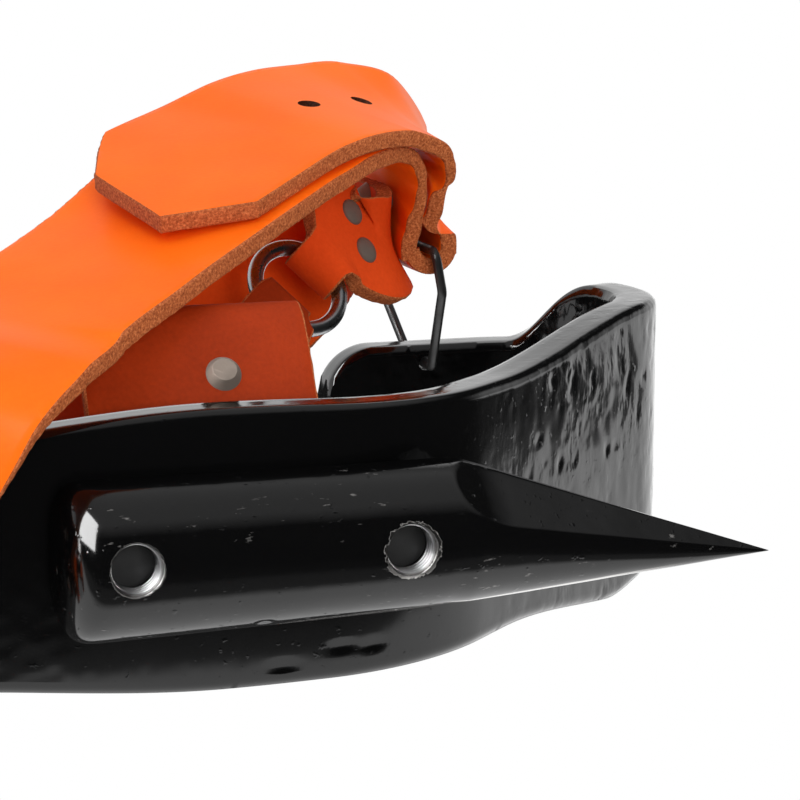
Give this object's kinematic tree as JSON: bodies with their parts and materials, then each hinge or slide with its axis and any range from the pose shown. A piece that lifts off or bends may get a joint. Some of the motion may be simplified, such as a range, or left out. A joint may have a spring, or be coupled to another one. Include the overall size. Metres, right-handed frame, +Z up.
{
  "type": "tree climbing spike",
  "caption": "Gaff climber for one leg: forged steel stirrup with a bolted spike, leather foot straps on a wire link, leg bar, calf plate with pad and a buckled calf strap.",
  "frame": {"origin": "under the middle of the whole climber's box, on the surface it lies on", "axes": "+X along the leg towards the spike tip, +Y from the spike's arm to the far arm, +Z up across the band's width"},
  "size_m": [0.4166, 0.1564, 0.1068],
  "materials": {
    "black_paint": "thick gloss black paint with runs and pits",
    "gaff_paint": "gloss black paint, chipped to bright steel at the holes and the ground point",
    "orange_leather": "smooth orange face, raw brown edges",
    "dark_leather": "dark oiled leather",
    "steel": "worn bright steel",
    "plated_steel": "plated steel",
    "black_wire": "black steel wire",
    "copper_rivets": "dull copper"
  },
  "bodies": {
    "climber": {"stirrup": "black_paint", "gaff": "gaff_paint", "gaff_screws": "steel", "foot_strap": "orange_leather", "foot_strap_rivets": "copper_rivets", "foot_buckle_chape": "orange_leather", "near_tab": "dark_leather", "near_tab_rivets": "copper_rivets", "far_tab": "orange_leather", "far_tab_rivets": "copper_rivets", "heel_strap": "orange_leather", "heel_strap_rivets": "copper_rivets", "leg_bar": "black_paint", "leg_bar_bolts": "steel", "leg_bar_nuts": "steel", "calf_plate": "black_paint", "calf_plate_rivets": "steel", "calf_pad": "dark_leather", "calf_strap": "orange_leather"},
    "far_link": {"far_arm_link": "black_wire"},
    "foot_buckle": {"foot_buckle_frame": "plated_steel"},
    "foot_roller": {"foot_buckle_roller": "plated_steel"},
    "foot_prong": {"foot_buckle_prong": "plated_steel"},
    "calf_buckle": {"calf_buckle_frame": "plated_steel"},
    "calf_roller": {"calf_buckle_roller": "plated_steel"},
    "calf_prong": {"calf_buckle_prong": "plated_steel"},
    "keeper": {"calf_strap_keeper": "orange_leather"},
    "ring": {"heel_ring": "plated_steel"}
  },
  "joints": [
    {"name": "far_link_swing", "type": "hinge", "parent": "climber", "child": "far_link", "pos_m": [0.17371, 0.02135, 0.0348], "axis": [0, 1, 0], "range_deg": [-1, 0.6]},
    {"name": "ring_spin", "type": "hinge", "parent": "climber", "child": "ring", "pos_m": [0.14371, -0.0081, 0.0531], "axis": [0.2299, -0.7797, 0.5824], "continuous": true},
    {"name": "foot_buckle_swing", "type": "hinge", "parent": "climber", "child": "foot_buckle", "pos_m": [0.05156, -0.0729, 0.02135], "axis": [0.8211, 0, -0.5708], "range_deg": [0, 45]},
    {"name": "foot_roller_spin", "type": "hinge", "parent": "foot_buckle", "child": "foot_roller", "pos_m": [0.06126, -0.0729, 0.03531], "axis": [0.8211, 0, -0.5708], "continuous": true},
    {"name": "foot_prong_swing", "type": "hinge", "parent": "foot_buckle", "child": "foot_prong", "pos_m": [0.05156, -0.0729, 0.02135], "axis": [0.8211, 0, -0.5708], "range_deg": [0, 65]},
    {"name": "calf_buckle_swing", "type": "hinge", "parent": "climber", "child": "calf_buckle", "pos_m": [-0.16029, 0.0729, 0.062], "axis": [1, 0, 0], "range_deg": [0, 45]},
    {"name": "calf_roller_spin", "type": "hinge", "parent": "calf_buckle", "child": "calf_roller", "pos_m": [-0.16029, 0.0729, 0.045], "axis": [1, 0, 0], "continuous": true},
    {"name": "calf_prong_swing", "type": "hinge", "parent": "calf_buckle", "child": "calf_prong", "pos_m": [-0.16029, 0.0729, 0.062], "axis": [1, 0, 0], "range_deg": [0, 65]},
    {"name": "keeper_slide", "type": "slide", "parent": "climber", "child": "keeper", "axis": [0, 1, 0], "range_m": [-0.02, 0.02]}
  ]
}
